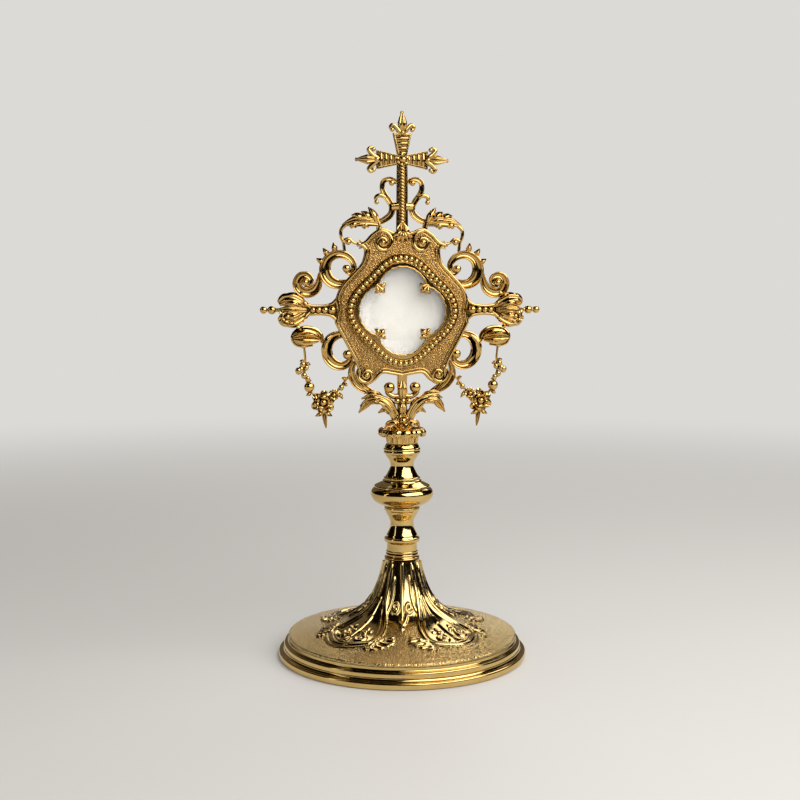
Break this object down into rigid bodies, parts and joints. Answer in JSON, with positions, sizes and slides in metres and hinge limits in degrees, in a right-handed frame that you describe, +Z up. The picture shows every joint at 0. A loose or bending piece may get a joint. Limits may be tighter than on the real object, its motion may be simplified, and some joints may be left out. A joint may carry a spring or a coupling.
{
  "type": "monstrance",
  "caption": "Gilt monstrance with a spun foot, turned stem and pierced scroll-work glory round a glazed window, with a hinged rear door for the luna.",
  "frame": {"origin": "centre of the foot's bottom rim, on the surface that it stands on", "axes": "+Z up along the stem, -Y towards the viewer in front of the window, +X to the viewer's right"},
  "size_m": [0.1462, 0.13, 0.2822],
  "materials": {
    "polished_gilt": "polished gilt",
    "satin_gilt": "satin gilt with a tooled grain",
    "steel": "plain",
    "glass": "clear",
    "wafer": "matt white wafer"
  },
  "bodies": {
    "stand": {"foot_rim": "polished_gilt", "foot": "satin_gilt", "foot_collar": "satin_gilt", "lower_stem": "polished_gilt", "knop": "polished_gilt", "upper_stem": "polished_gilt", "stem_cap": "polished_gilt", "calyx": "polished_gilt", "tie_rod": "steel", "tie_rod_washer": "steel", "tie_rod_nut": "steel", "acanthus_bracket": "polished_gilt", "glory_plate": "satin_gilt", "window_bezel": "polished_gilt", "pearl_border": "polished_gilt", "window_tracery": "polished_gilt", "front_glass": "glass", "luna_case": "satin_gilt", "luna_ring": "polished_gilt", "luna_glass_front": "glass", "luna_glass_rear": "glass", "host": "wafer", "upper_scroll_left": "polished_gilt", "upper_scroll_right": "polished_gilt", "lower_scroll_left": "polished_gilt", "lower_scroll_right": "polished_gilt", "upper_volute_left": "polished_gilt", "upper_volute_right": "polished_gilt", "lower_volute_left": "polished_gilt", "lower_volute_right": "polished_gilt", "side_arm_left": "polished_gilt", "side_arm_right": "polished_gilt", "garland_left": "polished_gilt", "garland_right": "polished_gilt", "cross": "polished_gilt", "cross_bracket_left": "polished_gilt", "cross_bracket_right": "polished_gilt", "hinge_pin": "steel"},
    "rear_door": {"door_ring": "satin_gilt", "door_glass": "glass"}
  },
  "joints": [
    {"name": "door_hinge", "type": "hinge", "parent": "stand", "child": "rear_door", "pos_m": [0.0315, 0.0096, 0.1803], "axis": [0, 0, -1], "range_deg": [0, 110]}
  ]
}
